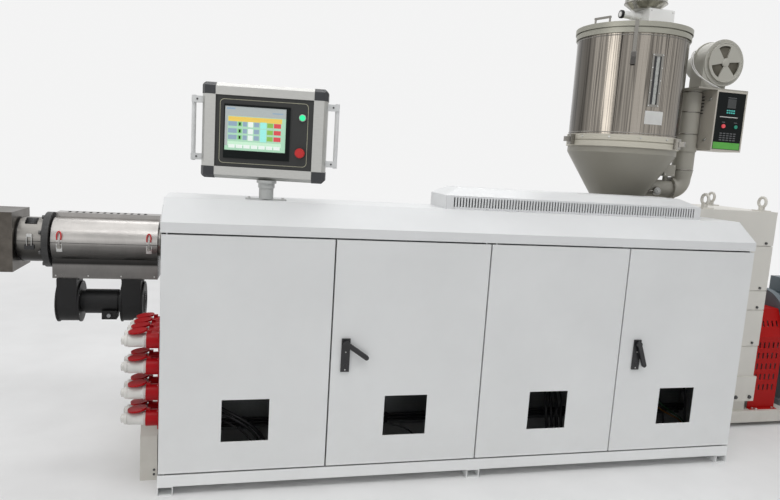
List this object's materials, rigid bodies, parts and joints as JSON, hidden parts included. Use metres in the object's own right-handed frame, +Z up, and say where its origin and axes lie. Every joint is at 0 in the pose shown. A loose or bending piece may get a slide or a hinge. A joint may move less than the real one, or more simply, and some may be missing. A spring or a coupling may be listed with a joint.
{
  "type": "plastic extruder",
  "caption": "Single screw plastic extruder line section with white control cabinet, hinged doors, swivel screen panel, covered barrel with fans, gearbox, motor and hopper dryer.",
  "frame": {"origin": "middle of the machine's outline on the floor", "axes": "+X along the machine from the die end to the motor, +Y from the cabinet doors to the back, +Z up"},
  "size_m": [5.05, 1.182, 2.67],
  "materials": {
    "cabinet_paint": "satin white powder coat",
    "galvanised": "galvanised sheet",
    "lock_black": "black moulded",
    "socket_red": "red moulded",
    "plug_white": "white moulded",
    "post_grey": "light grey paint",
    "panel_alu": "satin extruded",
    "corner_dark": "dark moulded",
    "face_dark": "dark satin",
    "grip_white": "pale moulded",
    "button_green": "lit green",
    "button_red": "red moulded",
    "machine_paint": "beige grey paint",
    "black_paint": "black paint",
    "guard_paint": "beige grey paint",
    "motor_paint": "grey blue paint",
    "steel": "machined",
    "heater": "cast",
    "stainless": "polished stainless",
    "flange_dark": "dark oxide",
    "drum_mirror": "mirror stainless",
    "dryer_paint": "pale grey beige paint",
    "fittings_steel": "bright stainless",
    "sight_glass": "clear pane, pellets behind",
    "loader_white": "white paint"
  },
  "bodies": {
    "machine": {"cabinet_feet": "cabinet_paint", "cabinet_shell": "cabinet_paint", "cabinet_top": "cabinet_paint", "equipment_plate": "galvanised", "vent_cover": "cabinet_paint", "sockets": "socket_red", "plugs": "plug_white", "panel_post": "post_grey", "base_frame": "machine_paint", "barrel_stands": "black_paint", "gearbox": "machine_paint", "coupling_guard": "guard_paint", "motor": "motor_paint", "feed_section": "stainless", "barrel": "steel", "heater_bands": "heater", "cover_bottoms": "stainless", "blowers": "black_paint", "die_flange": "flange_dark", "die_collar": "stainless", "die_block": "steel", "hopper_cone": "dryer_paint", "hopper_drum": "drum_mirror", "hopper_lid": "stainless", "hopper_fittings": "fittings_steel", "sight_glass": "sight_glass", "loader_box": "loader_white", "loader": "stainless", "dryer_shelf": "dryer_paint", "dryer_fan": "loader_white", "dryer_duct": "dryer_paint", "dryer_box": "dryer_paint"},
    "door_1": {"door_1": "cabinet_paint"},
    "door_2": {"door_2": "cabinet_paint", "lock_2": "lock_black"},
    "door_3": {"door_3": "cabinet_paint"},
    "door_4": {"door_4": "cabinet_paint", "lock_4": "lock_black"},
    "lever_2": {"lever_2": "lock_black"},
    "lever_4": {"lever_4": "lock_black"},
    "panel": {"swivel_head": "corner_dark", "panel_frame": "panel_alu", "panel_corners": "corner_dark", "panel_face": "face_dark", "panel_handles": "grip_white"},
    "start_button": {"start_button": "button_green"},
    "stop_button": {"stop_button": "button_red"},
    "cover_top_1": {"cover_top_1": "stainless"},
    "cover_top_2": {"cover_top_2": "stainless"},
    "cover_top_3": {"cover_top_3": "stainless"},
    "cover_top_4": {"cover_top_4": "stainless"},
    "cover_top_5": {"cover_top_5": "stainless"}
  },
  "joints": [
    {"name": "door_1_hinge", "type": "hinge", "parent": "machine", "child": "door_1", "pos_m": [-1.6015, -0.56, 0.58], "axis": [0, 0, -1], "range_deg": [0, 105]},
    {"name": "door_2_hinge", "type": "hinge", "parent": "machine", "child": "door_2", "pos_m": [-0.2985, -0.56, 0.58], "axis": [0, 0, 1], "range_deg": [0, 85]},
    {"name": "door_3_hinge", "type": "hinge", "parent": "machine", "child": "door_3", "pos_m": [-0.2515, -0.56, 0.58], "axis": [0, 0, -1], "range_deg": [0, 85]},
    {"name": "door_4_hinge", "type": "hinge", "parent": "machine", "child": "door_4", "pos_m": [1.0515, -0.56, 0.58], "axis": [0, 0, 1], "range_deg": [0, 105]},
    {"name": "lever_2_turn", "type": "hinge", "parent": "door_2", "child": "lever_2", "pos_m": [-0.8885, -0.582, 0.635], "axis": [0, -1, 0], "range_deg": [-55, 35]},
    {"name": "lever_4_turn", "type": "hinge", "parent": "door_4", "child": "lever_4", "pos_m": [0.4895, -0.582, 0.621], "axis": [0, -1, 0], "range_deg": [-20, 70]},
    {"name": "panel_swivel", "type": "hinge", "parent": "machine", "child": "panel", "pos_m": [-1.225, -0.362, 1.262], "axis": [0, 0, 1], "range_deg": [-70, 70]},
    {"name": "start_press", "type": "slide", "parent": "panel", "child": "start_button", "axis": [0.184, 0.9829, 0], "range_m": [0, 0.0025], "stiffness_N_per_m": 800, "springref_m": -0.0005},
    {"name": "stop_press", "type": "slide", "parent": "panel", "child": "stop_button", "axis": [0.184, 0.9829, 0], "range_m": [0, 0.004], "stiffness_N_per_m": 1500, "springref_m": -0.0005},
    {"name": "cover_1_hinge", "type": "hinge", "parent": "machine", "child": "cover_top_1", "pos_m": [-1.9145, 0.198, 0.95], "axis": [-1, 0, 0], "range_deg": [0, 75]},
    {"name": "cover_2_hinge", "type": "hinge", "parent": "machine", "child": "cover_top_2", "pos_m": [-1.3925, 0.198, 0.95], "axis": [-1, 0, 0], "range_deg": [0, 75]},
    {"name": "cover_3_hinge", "type": "hinge", "parent": "machine", "child": "cover_top_3", "pos_m": [-0.8705, 0.198, 0.95], "axis": [-1, 0, 0], "range_deg": [0, 75]},
    {"name": "cover_4_hinge", "type": "hinge", "parent": "machine", "child": "cover_top_4", "pos_m": [-0.3485, 0.198, 0.95], "axis": [-1, 0, 0], "range_deg": [0, 75]},
    {"name": "cover_5_hinge", "type": "hinge", "parent": "machine", "child": "cover_top_5", "pos_m": [0.1735, 0.198, 0.95], "axis": [-1, 0, 0], "range_deg": [0, 75]}
  ]
}
